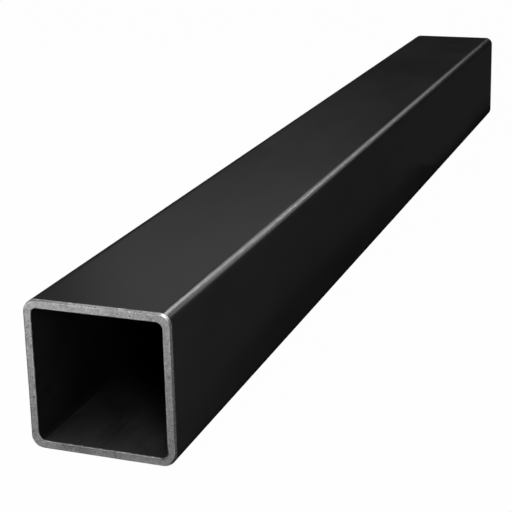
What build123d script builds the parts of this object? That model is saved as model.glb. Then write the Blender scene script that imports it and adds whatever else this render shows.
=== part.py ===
from build123d import *

import os

# A length of welded square steel tube, 50 x 50 x 3 mm and 500 mm long, sawn
# square at both ends and deburred.
#
# Frame: +X runs along the tube, +Z is up, and the tube lies on one of its flat
# sides. The origin is the middle of the underside, halfway along the length.
# All dimensions are in millimetres.

side = 50.0  # outside width and height of the section
wall = 3.0  # wall thickness
outer_radius = 4.5  # outside corner radius of the cold-formed section
inner_radius = 2.0  # inside corner radius
length = 500.0  # saw cut to saw cut
outer_break = 0.55  # deburred bevel round the outside of each cut end
inner_break = 0.2  # light break round the mouth of the bore at each cut end

# The rolls upset the corners slightly: the wall is 3.2 mm thick across a corner
# and 3 mm on the flats.
bore = side - 2 * wall
half_length = length / 2

with BuildPart() as square_tube:
    # The section stands on the XY plane, at the near cut end.
    with BuildSketch(Plane.YZ.offset(-half_length)) as section:
        with Locations((0, side / 2)):
            RectangleRounded(side, side, outer_radius)
            RectangleRounded(bore, bore, inner_radius, mode=Mode.SUBTRACT)
    extrude(amount=length)

    # Each cut face is bounded by the outside rim and by the rim of the bore.
    cut_faces = square_tube.faces().filter_by(Plane.YZ)
    outer_rims = ShapeList()
    inner_rims = ShapeList()
    for cut_face in cut_faces:
        outer_rims += cut_face.outer_wire().edges()
        for rim in cut_face.inner_wires():
            inner_rims += rim.edges()
    chamfer(outer_rims, length=outer_break)
    chamfer(inner_rims, length=inner_break)

square_tube.part.label = "square_tube"

os.makedirs("parts", exist_ok=True)
export_step(square_tube.part, "parts/square_tube.step")

section_area = section.sketch.area
print("section area mm2", round(section_area, 2))
print("volume mm3", round(square_tube.part.volume, 1))
print("mass in steel, kg", round(square_tube.part.volume * 7.85e-6, 3))
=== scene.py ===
import math

import bpy
import numpy as np
from mathutils import Matrix, Vector, noise


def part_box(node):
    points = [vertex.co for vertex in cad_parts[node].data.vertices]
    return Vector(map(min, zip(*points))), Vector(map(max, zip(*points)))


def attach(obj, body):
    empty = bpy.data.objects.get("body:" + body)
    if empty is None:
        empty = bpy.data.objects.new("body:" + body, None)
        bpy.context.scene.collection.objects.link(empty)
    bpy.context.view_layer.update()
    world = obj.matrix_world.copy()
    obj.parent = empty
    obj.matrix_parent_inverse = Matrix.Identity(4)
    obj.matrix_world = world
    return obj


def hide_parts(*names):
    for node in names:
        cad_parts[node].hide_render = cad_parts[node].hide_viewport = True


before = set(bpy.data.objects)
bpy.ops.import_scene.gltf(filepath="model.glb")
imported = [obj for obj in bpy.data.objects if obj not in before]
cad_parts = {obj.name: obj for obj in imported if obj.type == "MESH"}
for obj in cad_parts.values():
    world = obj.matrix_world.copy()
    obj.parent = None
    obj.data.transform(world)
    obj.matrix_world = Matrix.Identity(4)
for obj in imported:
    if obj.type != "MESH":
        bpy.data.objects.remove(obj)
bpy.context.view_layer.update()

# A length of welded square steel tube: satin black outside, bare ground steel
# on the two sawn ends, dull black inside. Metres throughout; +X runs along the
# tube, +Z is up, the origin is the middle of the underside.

LO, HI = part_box("square_tube")

HALF = (HI.x - LO.x) / 2          # half the length
SIDE = HI.z - LO.z                # outside width of the section
WALL = 0.003
R_OUT = 0.005                     # rho, the place through the wall: 5 mm on the outside
R_IN = R_OUT - WALL               # and 2 mm on the bore
# corner radii as rolled, about 4.5 mm outside and 2 mm inside: the corners at
# bottom +Y, top +Y, top -Y and bottom -Y
RADII_OUT = [0.0040, 0.0049, 0.0039, 0.0051]
RADII_IN = [0.0021, 0.0020, 0.0021, 0.0020]
BREAK_OUT = 0.00055               # deburred bevel round the outside of a cut
BREAK_IN = 0.0002                 # light break round the mouth of the bore
MID_X = (HI.x + LO.x) / 2
MID_Y = (HI.y + LO.y) / 2
MID_Z = (HI.z + LO.z) / 2


# ---------------------------------------------------------------- camera
def make_camera():
    data = bpy.data.cameras.new("camera")
    data.sensor_fit = "HORIZONTAL"
    data.sensor_width = 36.0
    data.lens = 95.948
    data.shift_y = -0.15            # the picture keeps uprights nearly upright
    data.clip_start = 0.01
    data.clip_end = 200.0
    cam = bpy.data.objects.new("camera", data)
    cam.location = (-0.59315, -0.18177, 0.19410)
    cam.rotation_euler = [math.radians(a) for a in (74.63927, 1.35241, -69.78204)]
    bpy.context.scene.collection.objects.link(cam)
    bpy.context.scene.camera = cam
    return cam


make_camera()


# ---------------------------------------------------------------- tube mesh
def fbm(p, scale, octaves=3, seed=0.0):
    """Layered noise in -1..1 at a point given in metres; scale is in cycles a metre."""
    q = Vector((p[0] * scale + seed, p[1] * scale - seed * 0.7, p[2] * scale + seed * 1.3))
    total, amp, norm = 0.0, 1.0, 0.0
    for _ in range(octaves):
        total += amp * noise.noise(q)
        norm += amp
        amp *= 0.5
        q = q * 2.03
    return total / norm


# Round the section, every point has a place on the outside, a place on the bore
# and one normal for both.
CORE = 0.020                       # half a side, without its corner
FLAT_STEPS = [0.6, 1.0, 1.6, 2.4, 3.0, 3.4, 4.0, 4.0]          # mm, corner to middle
FLAT_SPLIT = [2, 3, 4, 7, 8, 9, 11, 11]                        # fine steps in each
ARC_STEPS, ARC_SPLIT = 24, 2


def section_points():
    """Fine points (outside y z, bore y z, normal y z, girth), and the fine index of each coarse point."""
    half = [s * 0.001 for s in FLAT_STEPS]
    runs = []  # one coarse step: kind, start, end, splits, wall or corner number
    # walls in order: bottom (middle to +y), left going up, top, right going down, bottom again
    walls = [
        (Vector((0, -1)), Vector((1, 0))),
        (Vector((1, 0)), Vector((0, 1))),
        (Vector((0, 1)), Vector((-1, 0))),
        (Vector((-1, 0)), Vector((0, -1))),
        (Vector((0, -1)), Vector((1, 0))),
    ]
    up, down = half, half[::-1]
    for w in range(5):
        steps, splits = [], []
        if w > 0:
            steps += up
            splits += FLAT_SPLIT
        if w < 4:
            steps += down
            splits += FLAT_SPLIT[::-1]
        at = -CORE if w > 0 else 0.0
        for s, k in zip(steps, splits):
            runs.append(("flat", at, at + s, k, w))
            at += s
        if w < 4:
            for i in range(ARC_STEPS):
                runs.append(("arc", i / ARC_STEPS, (i + 1) / ARC_STEPS, ARC_SPLIT, w))

    def surface(kind, t, w, reach, radii):
        """A point on the outside or the bore, whose walls stand at reach from the middle."""
        n, along = walls[w]
        if kind == "flat":
            radius = radii[(w - 1) % 4] if t < 0 else radii[w % 4]
            b = n * reach + along * (t / CORE * (reach - radius))
            return b.x, b.y
        radius = radii[w]
        b = (n + walls[w + 1][0]) * (reach - radius)
        a = t * math.pi / 2
        m = n * math.cos(a) + walls[w + 1][0] * math.sin(a)
        b = b + m * radius
        return b.x, b.y

    def place(kind, t, w):
        m = walls[w][0]
        if kind == "arc":
            a = t * math.pi / 2
            m = m * math.cos(a) + walls[w + 1][0] * math.sin(a)
        return surface(kind, t, w, SIDE / 2, RADII_OUT) + surface(kind, t, w, SIDE / 2 - WALL, RADII_IN) + (m.x, m.y)

    fine, coarse_at, girth = [], [], 0.0
    for kind, a, b, k, w in runs:
        coarse_at.append(len(fine))
        length = (b - a) if kind == "flat" else (b - a) * math.pi / 2 * R_OUT
        for i in range(k):
            t = a + (b - a) * i / k
            fine.append(place(kind, t, w) + (girth + length * i / k,))
        girth += length
    return np.array(fine), np.array(coarse_at), girth


FINE, COARSE_AT, GIRTH = section_points()
COARSE = FINE[COARSE_AT]
NF, NC = len(FINE), len(COARSE)


def arc(p0, corner, p1, steps):
    """Points that round a corner of the wall's profile, from p0 to p1."""
    out = []
    for i in range(steps + 1):
        t = i / steps
        a, b, c = (1 - t) ** 2, 2 * t * (1 - t), t * t
        out.append((a * p0[0] + b * corner[0] + c * p1[0], a * p0[1] + b * corner[1] + c * p1[1]))
    return out


def end_profile():
    """The wall at a cut, from the outside to the bore, as (depth from the cut, rho, zone)."""
    t = 0.000045
    r2 = math.sqrt(0.5)
    skin = (BREAK_OUT, R_OUT)
    face = (0.0, R_OUT - BREAK_OUT)
    rows = [(0.0020, R_OUT, "skin"), (0.0013, R_OUT, "skin"), (0.00098, R_OUT, "skin"), (0.0008, R_OUT, "skin")]
    rows += [(s, r, "skin_round") for s, r in arc((BREAK_OUT + t, R_OUT), skin, (skin[0] - t * r2, skin[1] - t * r2), 3)]
    rows += [(BREAK_OUT * (1 - f), R_OUT - BREAK_OUT * f, "bevel") for f in (0.14, 0.5, 0.86)]
    rows += [(s, r, "face_round") for s, r in arc((face[0] + t * r2, face[1] + t * r2), face, (0.0, face[1] - t), 3)]
    inner = (0.0, R_IN + BREAK_IN)
    ti = 0.00005
    n = 10
    for i in range(1, n):
        f = i / n
        rows.append((0.0, (face[1] - t) * (1 - f) + (inner[1] + ti) * f, "face"))
    rows += [(s, r, "mouth_round") for s, r in arc((0.0, inner[1] + ti), inner, (inner[0] + ti * r2, inner[1] - ti * r2), 2)]
    mouth = (BREAK_IN, R_IN)
    rows += [(s, r, "mouth") for s, r in arc((mouth[0] - ti * r2, mouth[1] + ti * r2), mouth, (mouth[0] + ti, mouth[1]), 2)]
    rows += [(0.0005, R_IN, "bore"), (0.0010, R_IN, "bore"), (0.0020, R_IN, "bore")]
    return rows


PROFILE = end_profile()
FACE_OUT = max(p[1] for p in PROFILE if p[2] == "face")
FACE_IN = min(p[1] for p in PROFILE if p[2] == "face")
SKIN_X0 = 0.0034                   # where the fine rings near a cut meet the coarse ones
OUT_STATIONS, IN_STATIONS = 150, 64


def skin_sink(x, y, z):
    """How far the rolled walls sink, in metres: slow waves left by the rolls, none proud of the true section."""
    w = 0.5 + 0.5 * fbm((x * 0.4, y, z), 14.0, 1, 3.1)
    return 0.000020 * w


def end_relief(x, y, z, rho, zone):
    """Depth of the ground texture, saw marks and nicks at a cut, in metres."""
    p = (x, y, z)
    slow = 0.5 + 0.5 * fbm(p, 55.0, 2, 21.0)
    grind = 0.5 + 0.5 * fbm(p, 900.0, 2, 5.0)
    cells = noise.voronoi(Vector((y * 1150.0, z * 1150.0, x * 3.0)), distance_metric="DISTANCE")[0]
    cell = min(1.0, (cells[1] - cells[0]) * 1.6)
    nick = max(0.0, fbm(p, 330.0, 2, 40.0) - 0.30) / 0.5
    d = 0.000012 * slow
    if zone == "face":
        d += 0.000012 * grind + 0.000008 * (1 - cell)
    elif zone in ("face_round", "bevel", "skin_round"):
        d += 0.000014 * grind + 0.00008 * nick
    elif zone in ("mouth_round", "mouth"):
        d += 0.000018 * grind + 0.00006 * nick
    return d


def build_tube():
    verts = []
    depth_at, rho_at, bend_at = [], [], []
    rings = []

    def ring(points, x, depth, rho, zone, end):
        """One ring of vertices round the section; end is -1 or +1 for the cut it belongs to."""
        ids = []
        for oy, oz, iy, iz, ny, nz, g in points:

            def at(r):
                if zone in ("skin", "skin_round", "bevel", "face_round"):
                    return MID_Y + oy + ny * (r - R_OUT), MID_Z + oz + nz * (r - R_OUT)
                if zone in ("bore", "mouth", "mouth_round"):
                    return MID_Y + iy + ny * (r - R_IN), MID_Z + iz + nz * (r - R_IN)
                # across the face, from the bevel to the lip
                f = (FACE_OUT - r) / (FACE_OUT - FACE_IN)
                ay, az = oy + ny * (FACE_OUT - R_OUT), oz + nz * (FACE_OUT - R_OUT)
                by, bz = iy + ny * (FACE_IN - R_IN), iz + nz * (FACE_IN - R_IN)
                return MID_Y + ay + (by - ay) * f, MID_Z + az + (bz - az) * f

            r, s = rho, depth
            y, z = at(r)
            if zone in ("skin", "bore"):
                sink = skin_sink(x, y, z) * min(1.0, depth / 0.004)
                r += -sink if zone == "skin" else sink
                px = x
            else:
                # the deburring hand: the bevel's width wanders a little, and it is narrower along the top
                wander = 1.20 - 0.12 * max(0.0, nz) ** 2 + 0.14 * fbm((x, y, z), 150.0, 2, 13.0)
                if zone in ("bevel", "skin_round", "face_round"):
                    s = depth * wander
                    r = R_OUT - (R_OUT - rho) * wander
                relief = end_relief(x, y, z, rho, zone)
                if zone == "face":
                    s += relief
                elif zone in ("mouth_round", "mouth"):
                    s += relief * 0.7
                    r += relief * 0.7
                else:
                    s += relief * 0.7
                    r -= relief * 0.7
                r = min(r, R_OUT)
                px = MID_X + end * (HALF - s)
            y, z = at(r)
            ids.append(len(verts))
            verts.append((px, y, z))
            depth_at.append(depth)
            rho_at.append(rho)
            bend_at.append(abs(2 * ny * nz))
        return ids

    faces, mats, uvs = [], [], []

    # --- places in the bake map: outer skin, bore, and each cut as two half turns
    GAP = 0.006
    skin_v = (GAP, 0.600)
    bore_v = (0.606, 0.806)
    strip_h = 0.041
    strips = [0.812 + i * (strip_h + 0.005) for i in range(4)]

    def uv_skin(x, g, band):
        u = GAP + (x - LO.x) / (2 * HALF) * (1 - 2 * GAP)
        return u, band[0] + g / GIRTH * (band[1] - band[0])

    # distance along the profile, for the strips
    run = [0.0]
    for a, b in zip(PROFILE, PROFILE[1:]):
        run.append(run[-1] + math.hypot(a[0] - b[0], a[1] - b[1]))

    def uv_cut(k, g, end, second):
        base = strips[(0 if end < 0 else 2) + (1 if second else 0)]
        v = base + run[k] / run[-1] * strip_h
        gg = g - (GIRTH / 2 if second else 0.0)
        u = GAP + gg / (GIRTH / 2) * (1 - 2 * GAP)
        return u, v

    def quad(a, b, c, d, uva, uvb, uvc, uvd, mat, flip):
        f, t = [a, b, c, d], [uva, uvb, uvc, uvd]
        if flip:
            f, t = f[::-1], t[::-1]
        faces.append(f)
        uvs.append(t)
        mats.append(mat)

    def tri(a, b, c, uva, uvb, uvc, mat, flip):
        f, t = [a, b, c], [uva, uvb, uvc]
        if flip:
            f, t = f[::-1], t[::-1]
        faces.append(f)
        uvs.append(t)
        mats.append(mat)

    def girths(points):
        return list(points[:, 6]) + [GIRTH]

    GF, GC = girths(FINE), girths(COARSE)

    # --- coarse skins
    def stations(count):
        a, b = LO.x + SKIN_X0, HI.x - SKIN_X0
        t = np.linspace(0, 1, count)
        # closer together near the cuts
        t = t + 0.045 * np.sin(2 * math.pi * t) * -1.0
        return a + (b - a) * t

    out_x, in_x = stations(OUT_STATIONS), stations(IN_STATIONS)
    out_rings = [ring(COARSE, x, min(x - LO.x, HI.x - x), R_OUT, "skin", 0) for x in out_x]
    in_rings = [ring(COARSE, x, min(x - LO.x, HI.x - x), R_IN, "bore", 0) for x in in_x]
    for rows, xs, band, mat, flip in ((out_rings, out_x, skin_v, 0, False), (in_rings, in_x, bore_v, 2, True)):
        for i in range(len(rows) - 1):
            for j in range(NC):
                k = (j + 1) % NC
                quad(
                    rows[i][j], rows[i][k], rows[i + 1][k], rows[i + 1][j],
                    uv_skin(xs[i], GC[j], band), uv_skin(xs[i], GC[j + 1], band),
                    uv_skin(xs[i + 1], GC[j + 1], band), uv_skin(xs[i + 1], GC[j], band),
                    mat, flip,
                )

    # --- the two cuts
    first_cut = next(i for i, p in enumerate(PROFILE) if p[0] <= 0.00131)
    last_cut = max(i for i, p in enumerate(PROFILE) if p[2] != "bore") + 1
    for end in (-1, 1):
        rows = []
        for depth, rho, zone in PROFILE:
            x = MID_X + end * (HALF - depth)
            rows.append(ring(FINE, x, depth, rho, zone, end))
        for i in range(len(rows) - 1):
            za, zb = PROFILE[i][2], PROFILE[i + 1][2]
            in_strip = first_cut <= i < last_cut
            if za in ("skin",):
                mat = 0
            elif za == "bore" or (za == "mouth" and zb == "bore"):
                mat = 2
            else:
                mat = 1
            for j in range(NF):
                k = (j + 1) % NF
                if in_strip:
                    second = GF[j] >= GIRTH / 2 - 1e-9
                    t = [uv_cut(i, GF[j], end, second), uv_cut(i, GF[j + 1], end, second),
                         uv_cut(i + 1, GF[j + 1], end, second), uv_cut(i + 1, GF[j], end, second)]
                else:
                    band = skin_v if i < first_cut else bore_v
                    xa = MID_X + end * (HALF - PROFILE[i][0])
                    xb = MID_X + end * (HALF - PROFILE[i + 1][0])
                    t = [uv_skin(xa, GF[j], band), uv_skin(xa, GF[j + 1], band),
                         uv_skin(xb, GF[j + 1], band), uv_skin(xb, GF[j], band)]
                quad(rows[i][j], rows[i][k], rows[i + 1][k], rows[i + 1][j], *t, mat, end < 0)
        # fans from each coarse step to the fine steps beside it
        for fine_ring, depth, coarse_ring, cx, band, mat, outer in (
            (rows[0], PROFILE[0][0], out_rings[0 if end < 0 else -1], out_x[0 if end < 0 else -1], skin_v, 0, True),
            (rows[-1], PROFILE[-1][0], in_rings[0 if end < 0 else -1], in_x[0 if end < 0 else -1], bore_v, 2, False),
        ):
            fx = MID_X + end * (HALF - depth)
            flip = (end < 0) == outer
            for j in range(NC):
                a, b = coarse_ring[j], coarse_ring[(j + 1) % NC]
                lo, hi = COARSE_AT[j], (COARSE_AT[j + 1] if j + 1 < NC else NF)
                mid = (lo + hi) // 2
                ua, ub = uv_skin(cx, GC[j], band), uv_skin(cx, GC[j + 1], band)
                for m in range(lo, hi):
                    p, q = fine_ring[m], fine_ring[(m + 1) % NF]
                    up, uq = uv_skin(fx, GF[m], band), uv_skin(fx, GF[m + 1], band)
                    if m < mid:
                        tri(a, q, p, ua, uq, up, mat, flip)
                    else:
                        tri(b, q, p, ub, uq, up, mat, flip)
                um = uv_skin(fx, GF[mid], band)
                tri(a, b, fine_ring[mid % NF], ua, ub, um, mat, flip)

    mesh = bpy.data.meshes.new("steel_tube")
    mesh.from_pydata(verts, [], faces)
    mesh.polygons.foreach_set("material_index", mats)
    mesh.polygons.foreach_set("use_smooth", [True] * len(faces))
    layer = mesh.uv_layers.new(name="OFBake")
    layer.data.foreach_set("uv", np.array([c for face in uvs for p in face for c in p], np.float32))
    for name, values in (("cut_depth", depth_at), ("wall_offset", rho_at), ("bend", bend_at)):
        attribute = mesh.attributes.new(name, "FLOAT", "POINT")
        attribute.data.foreach_set("value", np.array(values, np.float32))
    mesh.update()
    mesh.validate(verbose=False)
    return mesh


tube_mesh = build_tube()
tube = bpy.data.objects.new("steel_tube", tube_mesh)
bpy.context.scene.collection.objects.link(tube)
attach(tube, "root")
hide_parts("square_tube")


# ---------------------------------------------------------------- materials
class Nodes:
    """Small helpers for building a material's nodes."""

    def __init__(self, name):
        self.mat = bpy.data.materials.new(name)
        self.mat.use_nodes = True
        self.tree = self.mat.node_tree
        self.tree.nodes.clear()
        self.out = self.tree.nodes.new("ShaderNodeOutputMaterial")
        self.bsdf = self.tree.nodes.new("ShaderNodeBsdfPrincipled")
        self.link(self.bsdf.outputs[0], self.out.inputs[0])
        coord = self.tree.nodes.new("ShaderNodeTexCoord")
        self.position = coord.outputs["Object"]

    def link(self, a, b):
        self.tree.links.new(a, b)

    def put(self, socket, value):
        if isinstance(value, bpy.types.NodeSocket):
            self.link(value, socket)
        else:
            socket.default_value = value

    def attribute(self, name):
        n = self.tree.nodes.new("ShaderNodeAttribute")
        n.attribute_name = name
        return n.outputs["Fac"]

    def math(self, op, a, b=0.0, c=0.0, clamp=False):
        n = self.tree.nodes.new("ShaderNodeMath")
        n.operation = op
        n.use_clamp = clamp
        self.put(n.inputs[0], a)
        self.put(n.inputs[1], b)
        self.put(n.inputs[2], c)
        return n.outputs[0]

    def scaled(self, factors):
        n = self.tree.nodes.new("ShaderNodeVectorMath")
        n.operation = "MULTIPLY"
        self.put(n.inputs[0], self.position)
        n.inputs[1].default_value = factors
        return n.outputs[0]

    def noise(self, scale, detail=2.0, rough=0.5, vector=None, distortion=0.0):
        n = self.tree.nodes.new("ShaderNodeTexNoise")
        self.put(n.inputs["Vector"], vector or self.position)
        n.inputs["Scale"].default_value = scale
        n.inputs["Detail"].default_value = detail
        n.inputs["Roughness"].default_value = rough
        n.inputs["Distortion"].default_value = distortion
        return n.outputs["Fac"]

    def voronoi(self, scale, feature="DISTANCE_TO_EDGE", vector=None):
        n = self.tree.nodes.new("ShaderNodeTexVoronoi")
        n.feature = feature
        self.put(n.inputs["Vector"], vector or self.position)
        n.inputs["Scale"].default_value = scale
        return n.outputs["Distance"]

    def ramp(self, value, lo, hi, out_lo=0.0, out_hi=1.0, smooth=True):
        """Maps lo..hi to out_lo..out_hi, held at both ends."""
        n = self.tree.nodes.new("ShaderNodeMapRange")
        n.interpolation_type = "SMOOTHSTEP" if smooth else "LINEAR"
        n.clamp = True
        self.put(n.inputs["Value"], value)
        n.inputs["From Min"].default_value = lo
        n.inputs["From Max"].default_value = hi
        n.inputs["To Min"].default_value = out_lo
        n.inputs["To Max"].default_value = out_hi
        return n.outputs["Result"]

    def mix(self, factor, a, b):
        n = self.tree.nodes.new("ShaderNodeMix")
        n.data_type = "RGBA"
        self.put(n.inputs["Factor"], factor)
        self.put(n.inputs[6], a if isinstance(a, bpy.types.NodeSocket) else tuple(a) + (1.0,))
        self.put(n.inputs[7], b if isinstance(b, bpy.types.NodeSocket) else tuple(b) + (1.0,))
        return n.outputs[2]

    def blend(self, factor, a, b):
        n = self.tree.nodes.new("ShaderNodeMix")
        n.data_type = "FLOAT"
        self.put(n.inputs["Factor"], factor)
        self.put(n.inputs[2], a)
        self.put(n.inputs[3], b)
        return n.outputs[0]

    def bump(self, height, strength=1.0, distance=1.0, normal=None):
        n = self.tree.nodes.new("ShaderNodeBump")
        n.inputs["Strength"].default_value = strength
        n.inputs["Distance"].default_value = distance
        self.put(n.inputs["Height"], height)
        if normal is not None:
            self.link(normal, n.inputs["Normal"])
        return n.outputs[0]

    def set(self, name, value):
        self.put(self.bsdf.inputs[name], value)


def steel_look(n, depth, rho):
    """Colour, roughness and height of the bare ground steel at a cut, with painted glints and painted shade in its
    colour.
    """
    fine = n.noise(2400.0, 2.0, 0.6)
    coarse = n.noise(950.0, 2.0, 0.55, distortion=1.0)
    slow = n.noise(230.0, 2.0, 0.5)
    cells = n.voronoi(1200.0)
    tone = n.math("ADD", n.math("MULTIPLY", fine, 0.36), n.math("MULTIPLY", coarse, 0.42))
    tone = n.math("ADD", tone, n.math("MULTIPLY", slow, 0.22))
    colour = n.mix(n.ramp(tone, 0.38, 0.64), (0.290, 0.290, 0.290), (0.555, 0.555, 0.555))
    # grinding marks: thin dark cell borders in patches, and a few dark pits
    border = n.math("MULTIPLY", n.ramp(cells, 0.0, 0.11, 1.0, 0.0), n.ramp(n.noise(420.0, 1.0, 0.5), 0.48, 0.58))
    pits = n.ramp(n.noise(1150.0, 1.0, 0.5, None, 0.4), 0.645, 0.71)
    dark = n.math("MAXIMUM", n.math("MULTIPLY", border, 0.45), n.math("MULTIPLY", pits, 0.70))
    colour = n.mix(dark, colour, (0.12, 0.12, 0.12))
    # short polished scratches on the flat
    scratch = n.math("MULTIPLY", n.ramp(n.noise(1300.0, 1.0, 0.5, n.scaled((1.0, 0.5, 1.2)), 0.3), 0.63, 0.70), 0.45)
    # the bevel is darker, partly a duller ground finish and partly painted shade, with painted glints in dashes where
    # the flat meets it
    split = n.tree.nodes.new("ShaderNodeSeparateXYZ")
    n.link(n.position, split.inputs[0])
    # painted shade: how far the bevel is darkened changes with side and height, least along the top and high on the
    # right wall
    right_bevel_shade = n.ramp(split.outputs["Z"], 0.018, 0.030, 0.38, 0.16)
    bevel_dull_and_shade = n.blend(n.ramp(split.outputs["Y"], -0.0238, -0.0222, 1.0, 0.0), n.ramp(split.outputs["Z"], 0.0455, 0.0475, 0.46, 0.14), right_bevel_shade)
    bevel = n.ramp(depth, 0.00002, 0.00008)
    colour = n.mix(n.math("MULTIPLY", bevel, bevel_dull_and_shade), colour, (0.19, 0.19, 0.19))
    # painted glints: bright dashes along the line where the flat meets the bevel
    line = n.math("ABSOLUTE", n.math("SUBTRACT", rho, R_OUT - BREAK_OUT * 1.2 + 0.00002))
    band = n.ramp(line, 0.00005, 0.00013, 1.0, 0.0)
    dash = n.ramp(n.noise(560.0, 1.0, 0.5), 0.57, 0.65)
    # the lip of the bore is painted darker, painted shade that tones down the light it catches, less so on the bottom
    # wall, with a painted glint here and there, inside a painted light line on the flat
    lip = n.ramp(rho, R_IN + 0.00018, R_IN + 0.00026, 1.0, 0.0)
    lip_dash = n.ramp(n.noise(520.0, 1.0, 0.5), 0.54, 0.62)
    dim = n.ramp(split.outputs["Z"], 0.0030, 0.0040, 0.64, 0.88)
    colour = n.mix(n.math("MULTIPLY", lip, dim), colour, (0.05, 0.05, 0.05))
    # the upper left shoulder is painted darker along its edge, painted shade that tones down the light it catches;
    # the floor of the cut is darker at its lip, painted shade too
    shoulder = n.math("MULTIPLY", n.ramp(split.outputs["Y"], 0.010, 0.019), n.ramp(split.outputs["Z"], 0.038, 0.045))
    shoulder_shade = n.math("MULTIPLY", shoulder, n.ramp(rho, 0.00425, 0.00440))
    colour = n.mix(n.math("MULTIPLY", shoulder_shade, 0.28), colour, (0.11, 0.11, 0.11))
    # painted shade: a faint darker band on the flat where it meets the bevel
    bevel_edge_shade = n.math("MULTIPLY", n.ramp(rho, 0.00418, 0.00432), n.ramp(rho, 0.00444, 0.00456, 1.0, 0.0))
    colour = n.mix(n.math("MULTIPLY", bevel_edge_shade, 0.08), colour, (0.10, 0.10, 0.10))
    # one stretch of the floor of the cut is stained darker, and the next one is cleaner
    low = n.ramp(split.outputs["Z"], 0.0034, 0.0048, 1.0, 0.0)
    stain = n.math("MULTIPLY", n.ramp(split.outputs["Y"], 0.0010, 0.0060), n.ramp(split.outputs["Y"], 0.0125, 0.0160, 1.0, 0.0))
    colour = n.mix(n.math("MULTIPLY", n.math("MULTIPLY", low, stain), 0.36), colour, (0.14, 0.14, 0.14))
    clean = n.math("MAXIMUM", n.ramp(split.outputs["Y"], -0.0080, -0.0040, 1.0, 0.0), n.ramp(split.outputs["Y"], 0.0155, 0.0180))
    colour = n.mix(n.math("MULTIPLY", n.math("MULTIPLY", low, clean), 0.09), colour, (0.90, 0.90, 0.90))
    upper = n.ramp(split.outputs["Z"], 0.0035, 0.0080, 0.15, 1.0)
    # painted shade: the lip along the floor of the cut is darkened
    lip_floor_shade = n.math("MULTIPLY", n.ramp(split.outputs["Z"], 0.0032, 0.0050, 1.0, 0.0), n.ramp(rho, R_IN + 0.00040, R_IN + 0.00080, 1.0, 0.0))
    colour = n.mix(n.math("MULTIPLY", lip_floor_shade, 0.34), colour, (0.10, 0.10, 0.10))
    # and the inside corner of the mouth at its right hand end is painted darker right through, painted shade that
    # also takes away the glints there
    lip_corner_shade = n.math("MULTIPLY", n.ramp(split.outputs["Y"], -0.0203, -0.0192, 1.0, 0.0), n.ramp(split.outputs["Z"], 0.0050, 0.0085, 1.0, 0.0))
    lip_corner_shade = n.math("MULTIPLY", lip_corner_shade, n.ramp(rho, R_IN + 0.00030, R_IN + 0.00060, 1.0, 0.0))
    colour = n.mix(n.math("MULTIPLY", lip_corner_shade, 0.85), colour, (0.03, 0.03, 0.03))
    # painted highlight: a thin light line on the flat just inside the lip, fainter along the bottom wall
    edge = n.math("MULTIPLY", n.ramp(rho, R_IN + 0.00020, R_IN + 0.00026), n.ramp(rho, R_IN + 0.00042, R_IN + 0.00060, 1.0, 0.0))
    edge = n.math("MULTIPLY", n.math("MULTIPLY", edge, upper), n.ramp(n.noise(300.0, 2.0, 0.5), 0.40, 0.56))
    shine = n.math("MAXIMUM", n.math("MULTIPLY", n.math("MULTIPLY", band, dash), 0.18), n.math("MULTIPLY", n.math("MULTIPLY", lip, lip_dash), 0.24))
    shine = n.math("MAXIMUM", shine, n.math("MULTIPLY", edge, 0.45))
    shine = n.math("MULTIPLY", shine, n.math("SUBTRACT", 1.0, lip_corner_shade))
    shine = n.math("MAXIMUM", shine, scratch)
    # a painted glint brightens the upper right corner of the bevel
    corner_glint = n.math("MULTIPLY", n.ramp(split.outputs["Y"], -0.0225, -0.0210, 1.0, 0.0), n.ramp(split.outputs["Z"], 0.0481, 0.0491))
    shine = n.math("MAXIMUM", shine, n.math("MULTIPLY", n.math("MULTIPLY", corner_glint, n.ramp(rho, 0.00425, 0.00440)), 0.75))
    # the painted glints and light lines, with the polished scratches, lighten the colour
    colour = n.mix(n.math("MULTIPLY", shine, 0.75), colour, (0.90, 0.90, 0.90))
    rough = n.ramp(tone, 0.37, 0.65, 0.40, 0.34)
    height = n.math("ADD", n.math("MULTIPLY", fine, 0.0000022), n.math("MULTIPLY", coarse, 0.0000055))
    height = n.math("SUBTRACT", height, n.math("MULTIPLY", dark, 0.0000055))
    return colour, rough, height


def black_look(n):
    """Colour, roughness and height of the satin black skin."""
    bend = n.attribute("bend")
    cloud = n.noise(17.0, 2.0, 0.5, n.scaled((0.55, 1.0, 1.0)))
    mottle = n.noise(95.0, 3.0, 0.55, n.scaled((0.5, 1.0, 1.0)))
    streak = n.noise(1.0, 3.0, 0.6, n.scaled((5.0, 420.0, 420.0)))
    grain = n.noise(2300.0, 2.0, 0.6)
    peel = n.noise(800.0, 2.0, 0.5)
    # the skin stretched over the bend has a coarser grain
    crest = n.noise(1900.0, 2.0, 0.65)
    tone = n.math("ADD", n.math("MULTIPLY", cloud, 0.5), n.math("MULTIPLY", mottle, 0.3))
    tone = n.math("ADD", tone, n.math("MULTIPLY", streak, 0.2))
    colour = n.mix(n.ramp(tone, 0.35, 0.65), (0.0128, 0.0128, 0.0126), (0.0178, 0.0178, 0.0175))
    rough = n.ramp(tone, 0.35, 0.65, 0.200, 0.222)
    rough = n.math("ADD", rough, n.math("MULTIPLY", n.math("SUBTRACT", grain, 0.5), 0.04))
    height = n.math("ADD", n.math("MULTIPLY", grain, 0.0000008), n.math("MULTIPLY", peel, 0.0000012))
    height = n.math("ADD", height, n.math("MULTIPLY", n.math("MULTIPLY", crest, n.math("MULTIPLY", bend, bend)), 0.0000120))
    return colour, rough, height


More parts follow.
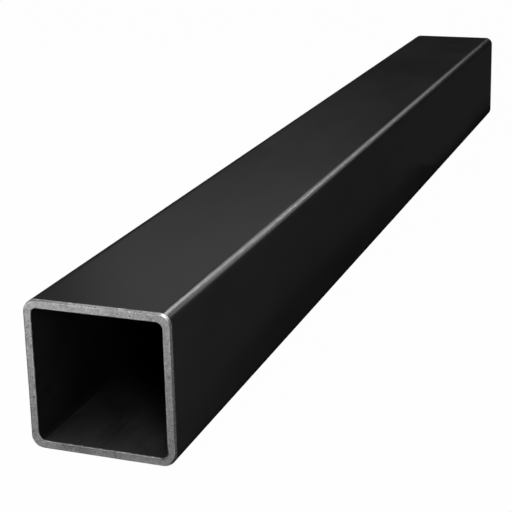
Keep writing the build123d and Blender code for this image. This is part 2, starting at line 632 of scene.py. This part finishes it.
def mixed_material(name):
    """Satin black skin and bare steel, parted along a ragged line near the outer edge of the bevel."""
    n = Nodes(name)
    depth, rho = n.attribute("cut_depth"), n.attribute("wall_offset")
    black, b_rough, b_height = black_look(n)
    steel, s_rough, s_height = steel_look(n, depth, rho)
    # scuffed here and there beside the bevel
    beside = n.math("MULTIPLY", n.ramp(depth, 0.0006, 0.0011, 1.0, 0.0), n.ramp(n.noise(520.0, 1.0, 0.5), 0.46, 0.58))
    b_rough = n.blend(beside, b_rough, 0.42)
    ragged = n.math("ADD", depth, n.math("MULTIPLY", n.math("SUBTRACT", n.noise(800.0, 2.0, 0.6), 0.5), 0.00030))
    bend = n.attribute("bend")
    ragged = n.math("SUBTRACT", ragged, n.math("MULTIPLY", n.math("MULTIPLY", bend, bend), 0.00020))
    bare = n.ramp(ragged, 0.00060, 0.00067, 1.0, 0.0)
    n.set("Base Color", n.mix(bare, black, steel))
    n.set("Metallic", bare)
    n.set("Roughness", n.blend(bare, b_rough, s_rough))
    n.set("Normal", n.bump(n.blend(bare, b_height, s_height)))
    n.bsdf.inputs["IOR"].default_value = 1.5
    return n.mat


def bore_material():
    """The inside: matt mill scale; its colour is lighter near the mouths and most of all on the floor, which is
    painted light, and near black further in, which is painted shade.
    """
    n = Nodes("black_bore")
    depth = n.attribute("cut_depth")
    split = n.tree.nodes.new("ShaderNodeSeparateXYZ")
    n.link(n.position, split.inputs[0])
    lying = n.ramp(split.outputs["Z"], WALL, WALL + 0.0020, 1.0, 0.0)
    cloud = n.noise(75.0, 3.0, 0.55, n.scaled((0.6, 1.0, 1.0)), 0.5)
    streak = n.noise(1.0, 3.0, 0.6, n.scaled((7.0, 380.0, 380.0)))
    grain = n.noise(1400.0, 3.0, 0.6)
    tone = n.math("ADD", n.math("MULTIPLY", cloud, 0.55), n.math("MULTIPLY", streak, 0.2))
    tone = n.math("ADD", tone, n.math("MULTIPLY", grain, 0.25))
    # painted shade: the colour fades to near black further in, sooner on the walls than on the floor
    wall_fade = n.ramp(depth, 0.003, 0.036)
    floor_fade = n.ramp(depth, 0.010, 0.085)
    fade = n.blend(lying, wall_fade, floor_fade)
    # painted light: the floor of the bore near the mouths is lighter than the walls
    floor_light = n.mix(n.ramp(tone, 0.38, 0.62), (0.0185, 0.0185, 0.0187), (0.0330, 0.0330, 0.0330))
    scale = n.mix(n.ramp(tone, 0.38, 0.62), (0.0052, 0.0052, 0.0053), (0.0092, 0.0092, 0.0092))
    near = n.mix(lying, scale, floor_light)
    deep = n.mix(n.ramp(tone, 0.38, 0.62), (0.0006, 0.0006, 0.0006), (0.0011, 0.0011, 0.0011))
    # painted shade: the inner corners are darker than the flats, and rougher
    fold_shade = n.ramp(n.attribute("bend"), 0.10, 0.80)
    n.set("Base Color", n.mix(n.math("MULTIPLY", fold_shade, 0.75), n.mix(fade, near, deep), (0.0006, 0.0006, 0.0006)))
    n.set("Roughness", n.blend(n.math("MAXIMUM", fade, fold_shade), n.ramp(tone, 0.38, 0.62, 0.72, 0.64), 1.0))
    n.bsdf.inputs["Specular IOR Level"].default_value = 0.10
    n.set("Normal", n.bump(n.math("ADD", n.math("MULTIPLY", grain, 0.000004), n.math("MULTIPLY", streak, 0.000003))))
    n.bsdf.inputs["IOR"].default_value = 1.45
    return n.mat


for material in (mixed_material("black_skin"), mixed_material("cut_steel"), bore_material()):
    tube_mesh.materials.append(material)


# ---------------------------------------------------------------- floor and backdrop
PAPER = 0.984                      # pale near-white, as a studio sweep


def make_floor():
    mesh = bpy.data.meshes.new("floor")
    s = 60.0
    mesh.from_pydata([(-s, -s, 0), (s, -s, 0), (s, s, 0), (-s, s, 0)], [], [(0, 1, 2, 3)])
    floor = bpy.data.objects.new("floor", mesh)
    floor.location = (0, 0, LO.z - 0.0002)
    bpy.context.scene.collection.objects.link(floor)
    mat = bpy.data.materials.new("floor_paper")
    mat.use_nodes = True
    tree = mat.node_tree
    bsdf = tree.nodes["Principled BSDF"]
    bsdf.inputs["Base Color"].default_value = (0.005, 0.005, 0.005, 1)
    bsdf.inputs["Roughness"].default_value = 1.0
    bsdf.inputs["Specular IOR Level"].default_value = 0.0
    bsdf.inputs["Emission Color"].default_value = (1, 1, 1, 1)
    bsdf.inputs["Emission Strength"].default_value = PAPER
    mesh.materials.append(mat)
    floor.visible_glossy = False
    floor.visible_diffuse = False
    floor.visible_shadow = False      # the low front light shines up past it, as a bright floor would
    return floor


make_floor()

world = bpy.data.worlds.new("studio")
bpy.context.scene.world = world
world.use_nodes = True
sky = world.node_tree.nodes["Background"]
sky.inputs["Color"].default_value = (PAPER, PAPER, PAPER, 1)
sky.inputs["Strength"].default_value = 1.0
world.cycles_visibility.diffuse = False
world.cycles_visibility.glossy = False
world.cycles_visibility.transmission = False
world.cycles_visibility.scatter = False


# ---------------------------------------------------------------- lights
# name, place, aimed at, width, height, radiance, seen in reflections, which way is up
UPRIGHT = (0, 0, 1)
LIGHTS = [
    ("rim_softbox", (0.826, -0.248, 0.469), (0, 0, 0.05), 0.582, 0.408, 0.733, True, UPRIGHT),
    ("back_panel", (2.197, 0.918, 1.259), (0, 0, 0.05), 0.748, 0.964, 0.196, True, UPRIGHT),
    ("far_strip", (2.798, -0.117, 2.120), (0, 0, 0.05), 0.971, 0.171, 18.830, True, UPRIGHT),
    ("front_low", (-1.167, 1.000, 0.135), (-0.25, 0, 0.025), 1.499, 0.240, 25.6, True, UPRIGHT),
    ("front_right", (-0.642, -0.273, 0.100), (-0.25, 0, 0.025), 0.101, 0.800, 8.161, True, UPRIGHT),
    ("front_high", (-0.433, -0.078, 0.624), (-0.25, 0, 0.025), 0.126, 0.251, 7.220, True, UPRIGHT),
    ("overhead", (-0.177, 0.253, 0.602), (-0.25, 0, 0.025), 0.261, 0.759, 5.187, True, UPRIGHT),
    ("right_low", (0.573, -1.595, 0.897), (0, 0, 0.03), 0.102, 0.111, 0.250, True, UPRIGHT),
    ("side_fill", (0.2, -3.0, 0.8), (0, 0, 0.02), 2.5, 1.6, 2.1, False, UPRIGHT),
    ("top_fill", (0.1, -0.2, 2.6), (0, 0, 0.02), 1.6, 1.6, 1.6, False, UPRIGHT),
    # a thin tube far behind, slanted so that it runs along the upper right arris
    ("arris_strip", (2.112, -0.298, 1.323), (0, 0, 0.05), 0.038, 1.040, 20.88, True, (0.306, 0.599, 1.0)),
    # its two fainter neighbours, a third of the way down the arris and along its lower edge
    ("arris_bead", (2.107, -0.333, 0.966), (0, 0, 0.05), 0.060, 0.230, 6.0, True, (0.245, 0.355, -0.902)),
    ("arris_low", (1.832, -0.810, 0.902), (0, 0, 0.05), 0.250, 0.200, 1.5, True, (0.306, 0.599, 1.0)),
    # the pale floor beside the tube, as the black side reflects it
    ("floor_card", (0.300, -0.1700, 0.0005), (0.300, -0.1700, 1.0), 1.100, 0.260, 0.0195, True, (0, 1, 0)),
    ("floor_card_far", (0.280, -0.0360, 0.0005), (0.280, -0.0360, 1.0), 0.320, 0.008, 0.0195, True, (0, 1, 0)),
    # faint wide panels on the right, on the left, overhead and on the floor past the far cut
    ("right_panel", (0.150, -1.700, 0.250), (0.150, 0.0, 0.250), 1.300, 1.100, 0.45, True, UPRIGHT),
    ("left_panel", (0.000, 1.900, 0.250), (0.000, 0.0, 0.250), 1.600, 1.100, 0.45, True, UPRIGHT),
    ("roof_panel", (0.150, 0.000, 1.600), (0.150, 0.0, 0.0), 1.200, 0.800, 0.35, True, UPRIGHT),
    ("far_floor_card", (0.550, 0.0280, -0.0001), (0.550, 0.0280, 1.0), 0.598, 0.104, 0.90, True, (0, 1, 0)),
    # the pale floor under the near cut, as the lower bevel reflects it
    ("toe_card", (-0.2494, 0.0, -0.0001), (-0.2494, 0.0, 1.0), 0.002, 0.046, 0.35, True, (0, 1, 0)),
]


def make_light(name, place, aim, width, height, radiance, shiny, upward):
    data = bpy.data.lights.new(name, "AREA")
    data.shape = "RECTANGLE"
    data.size, data.size_y = width, height
    data.energy = radiance * math.pi * width * height
    if name.startswith("arris"):
        data.color = (0.98, 1.0, 1.03)  # a touch cooler than the rest
    light = bpy.data.objects.new(name, data)
    place, aim, upward = Vector(place), Vector(aim), Vector(upward).normalized()
    if upward.z > 0.999:
        # upright lights tip back so as to face the tube squarely
        back = (place - aim).normalized()
        across = upward.cross(back)
        if across.length < 1e-6:
            across = Vector((1, 0, 0))
        across.normalize()
        up = back.cross(across)
    else:
        up = upward
        back = place - aim
        back = (back - up * back.dot(up)).normalized()
        across = up.cross(back)
    light.matrix_world = Matrix(
        ((across.x, up.x, back.x, place.x), (across.y, up.y, back.y, place.y), (across.z, up.z, back.z, place.z), (0, 0, 0, 1))
    )
    light.visible_camera = False
    light.visible_glossy = shiny
    bpy.context.scene.collection.objects.link(light)
    return light


for row in LIGHTS:
    make_light(*row)

bpy.context.scene.view_settings.view_transform = "Standard"
bpy.context.scene.view_settings.look = "None"
